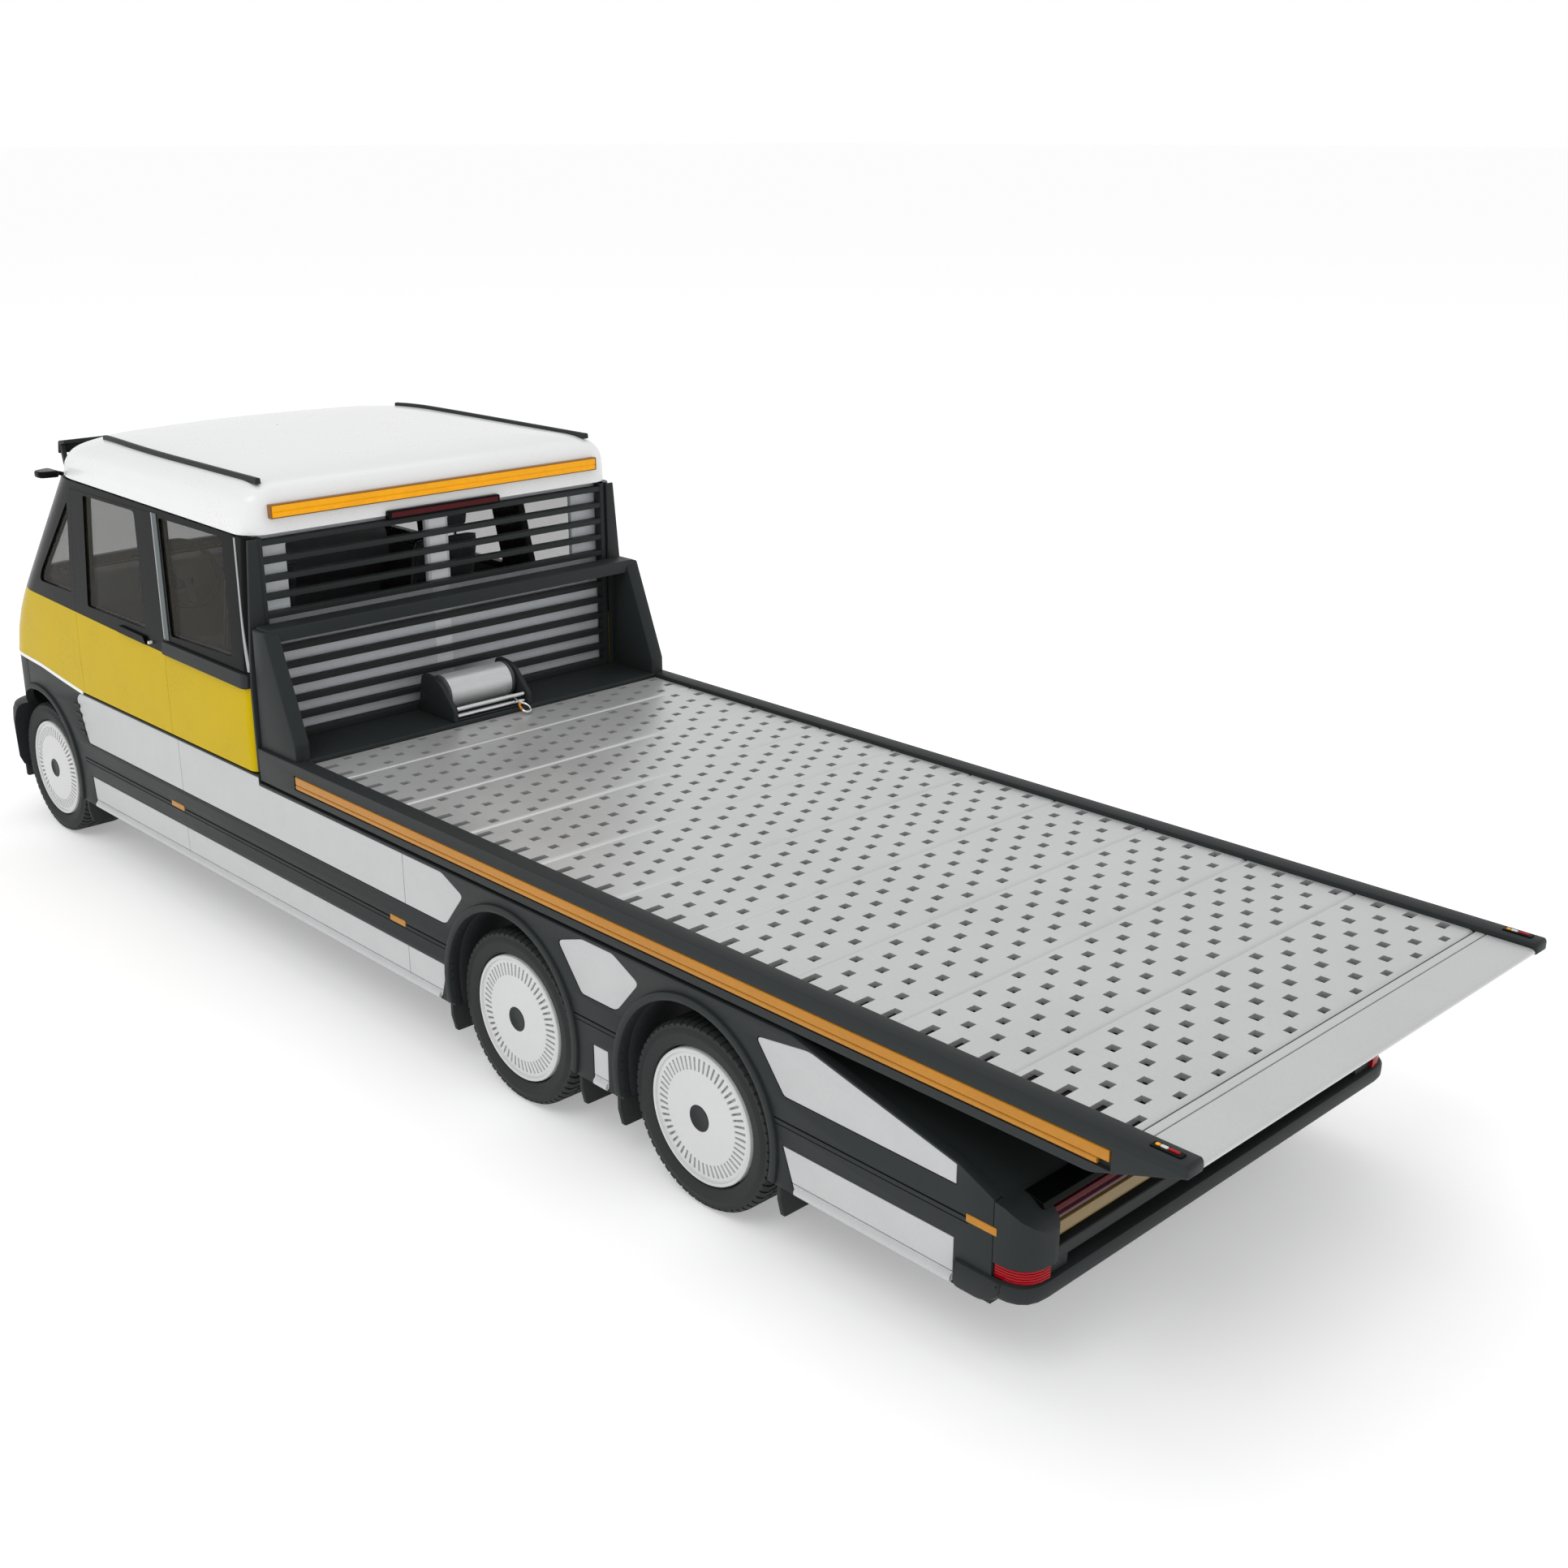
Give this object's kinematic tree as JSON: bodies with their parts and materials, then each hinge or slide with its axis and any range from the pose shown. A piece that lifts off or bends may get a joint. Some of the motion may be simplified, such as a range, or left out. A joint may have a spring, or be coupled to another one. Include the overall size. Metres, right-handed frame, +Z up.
{
  "type": "toy tow truck",
  "caption": "Rollback tow truck with a low cab, a flat load deck that slides and tilts, a winch under an open headboard, and tandem rear wheels.",
  "frame": {"origin": "on the ground under the middle of the truck's overall length and width", "axes": "+X towards the cab's nose, along the length; +Y to the truck's left; +Z up"},
  "size_m": [0.5762, 0.1648, 0.1628],
  "materials": {
    "tyre_rubber": "matt black rubber",
    "wheel_white": "gloss white",
    "chassis_steel": "dark grey satin paint",
    "body_black": "satin charcoal",
    "panel_white": "satin white",
    "cab_yellow": "gloss yellow",
    "roof_white": "gloss white",
    "cab_black": "gloss black",
    "tinted_glass": "smoked clear pane",
    "lamp_red": "dark red lens",
    "lamp_amber": "amber lens",
    "wall_grey": "light grey, ribbed",
    "interior_dark": "dark grained plastic",
    "seat_cloth": "dark grey cloth",
    "deck_dark": "charcoal powder coat",
    "deck_plate": "brushed natural aluminium",
    "bright_metal": "polished"
  },
  "bodies": {
    "truck_body": {"chassis_frame": "chassis_steel", "front_axle": "chassis_steel", "rear_bogie": "chassis_steel", "body_side_left": "body_black", "body_side_right": "body_black", "rear_cover": "body_black", "rear_bumper": "body_black", "front_bumper": "body_black", "roof_rail_left": "body_black", "roof_rail_right": "body_black", "sun_visor": "body_black", "rear_guard": "body_black", "side_inlay_left": "panel_white", "side_inlay_right": "panel_white", "cab_lower": "cab_yellow", "roof_shell": "roof_white", "cab_frame": "cab_black", "front_glass": "tinted_glass", "rear_side_glass_left": "tinted_glass", "rear_side_glass_right": "tinted_glass", "rear_window": "tinted_glass", "rear_lamp_bar": "lamp_red", "roof_light_bar": "lamp_amber", "cab_back_wall": "wall_grey", "cab_floor": "interior_dark", "dashboard": "interior_dark", "seat_left": "seat_cloth", "seat_right": "seat_cloth"},
    "steering": {"steering_wheel": "cab_black"},
    "steer_left": {"knuckle_left": "chassis_steel"},
    "steer_right": {"knuckle_right": "chassis_steel"},
    "wheel_front_left": {"tyre_front_left": "tyre_rubber", "rim_front_left": "wheel_white"},
    "wheel_front_right": {"tyre_front_right": "tyre_rubber", "rim_front_right": "wheel_white"},
    "wheel_mid_left": {"tyre_mid_left": "tyre_rubber", "rim_mid_left": "wheel_white"},
    "wheel_mid_right": {"tyre_mid_right": "tyre_rubber", "rim_mid_right": "wheel_white"},
    "wheel_rear_left": {"tyre_rear_left": "tyre_rubber", "rim_rear_left": "wheel_white"},
    "wheel_rear_right": {"tyre_rear_right": "tyre_rubber", "rim_rear_right": "wheel_white"},
    "door_leaf_left": {"door_left": "cab_yellow", "door_glass_left": "tinted_glass"},
    "mirror_wing_left": {"mirror_left": "body_black"},
    "door_leaf_right": {"door_right": "cab_yellow", "door_glass_right": "tinted_glass"},
    "mirror_wing_right": {"mirror_right": "body_black"},
    "tilt": {"tilt_frame": "chassis_steel"},
    "deck": {"deck_frame": "deck_dark", "deck_plates": "deck_plate", "amber_strip_left": "lamp_amber", "amber_strip_right": "lamp_amber", "winch_housing": "body_black", "winch_rope": "bright_metal"},
    "drum": {"winch_drum": "deck_plate"},
    "roller_upper": {"guide_roller_1": "bright_metal"},
    "roller_lower": {"guide_roller_2": "bright_metal"},
    "tow_hook": {"hook": "bright_metal"}
  },
  "joints": [
    {"name": "steering_wheel_turn", "type": "hinge", "parent": "truck_body", "child": "steering", "pos_m": [0.2001, 0.034, 0.1058], "axis": [-0.8678, 0, 0.4969], "range_deg": [-450, 450]},
    {"name": "knuckle_steer_left", "type": "hinge", "parent": "truck_body", "child": "steer_left", "pos_m": [0.2442, 0.0665, 0.0263], "axis": [0, 0, 1], "range_deg": [-25, 25]},
    {"name": "wheel_spin_front_left", "type": "hinge", "parent": "steer_left", "child": "wheel_front_left", "pos_m": [0.2442, 0.0665, 0.0263], "axis": [0, 1, 0], "continuous": true},
    {"name": "wheel_spin_mid_left", "type": "hinge", "parent": "truck_body", "child": "wheel_mid_left", "pos_m": [-0.0635, 0.0665, 0.0263], "axis": [0, 1, 0], "continuous": true},
    {"name": "wheel_spin_rear_left", "type": "hinge", "parent": "truck_body", "child": "wheel_rear_left", "pos_m": [-0.1419, 0.0665, 0.0263], "axis": [0, 1, 0], "continuous": true},
    {"name": "knuckle_steer_right", "type": "hinge", "parent": "truck_body", "child": "steer_right", "pos_m": [0.2442, -0.0665, 0.0263], "axis": [0, 0, 1], "range_deg": [-25, 25]},
    {"name": "wheel_spin_front_right", "type": "hinge", "parent": "steer_right", "child": "wheel_front_right", "pos_m": [0.2442, -0.0665, 0.0263], "axis": [0, 1, 0], "continuous": true},
    {"name": "wheel_spin_mid_right", "type": "hinge", "parent": "truck_body", "child": "wheel_mid_right", "pos_m": [-0.0635, -0.0665, 0.0263], "axis": [0, 1, 0], "continuous": true},
    {"name": "wheel_spin_rear_right", "type": "hinge", "parent": "truck_body", "child": "wheel_rear_right", "pos_m": [-0.1419, -0.0665, 0.0263], "axis": [0, 1, 0], "continuous": true},
    {"name": "door_open_left", "type": "hinge", "parent": "truck_body", "child": "door_leaf_left", "pos_m": [0.2003, 0.0783, 0.1048], "axis": [0, 0, -1], "range_deg": [0, 65]},
    {"name": "door_open_right", "type": "hinge", "parent": "truck_body", "child": "door_leaf_right", "pos_m": [0.2003, -0.0783, 0.1048], "axis": [0, 0, 1], "range_deg": [0, 65]},
    {"name": "mirror_fold_left", "type": "hinge", "parent": "truck_body", "child": "mirror_wing_left", "pos_m": [0.2093, 0.0754, 0.1484], "axis": [0, 0, 1], "range_deg": [-20, 20]},
    {"name": "mirror_fold_right", "type": "hinge", "parent": "truck_body", "child": "mirror_wing_right", "pos_m": [0.2093, -0.0754, 0.1484], "axis": [0, 0, -1], "range_deg": [-20, 20]},
    {"name": "deck_tilt", "type": "hinge", "parent": "truck_body", "child": "tilt", "pos_m": [-0.1779, 0, 0.0573], "axis": [0, -1, 0], "range_deg": [0, 11.5]},
    {"name": "deck_slide", "type": "slide", "parent": "tilt", "child": "deck", "axis": [-1, 0, 0], "range_m": [0, 0.22]},
    {"name": "drum_turn", "type": "hinge", "parent": "deck", "child": "drum", "pos_m": [0.0611, 0, 0.0835], "axis": [0, 1, 0], "continuous": true},
    {"name": "roller_turn_upper", "type": "hinge", "parent": "deck", "child": "roller_upper", "pos_m": [0.0508, 0, 0.0801], "axis": [0, 1, 0], "continuous": true},
    {"name": "roller_turn_lower", "type": "hinge", "parent": "deck", "child": "roller_lower", "pos_m": [0.0508, 0, 0.0777], "axis": [0, 1, 0], "continuous": true},
    {"name": "hook_swing", "type": "hinge", "parent": "deck", "child": "tow_hook", "pos_m": [0.0485, -0.0105, 0.0783], "axis": [0, 1, 0], "range_deg": [0, 50]}
  ],
  "couplings": [
    {"joint": "knuckle_steer_left", "follows": "steering_wheel_turn", "ratio": 0.0555},
    {"joint": "knuckle_steer_right", "follows": "steering_wheel_turn", "ratio": 0.0555}
  ]
}
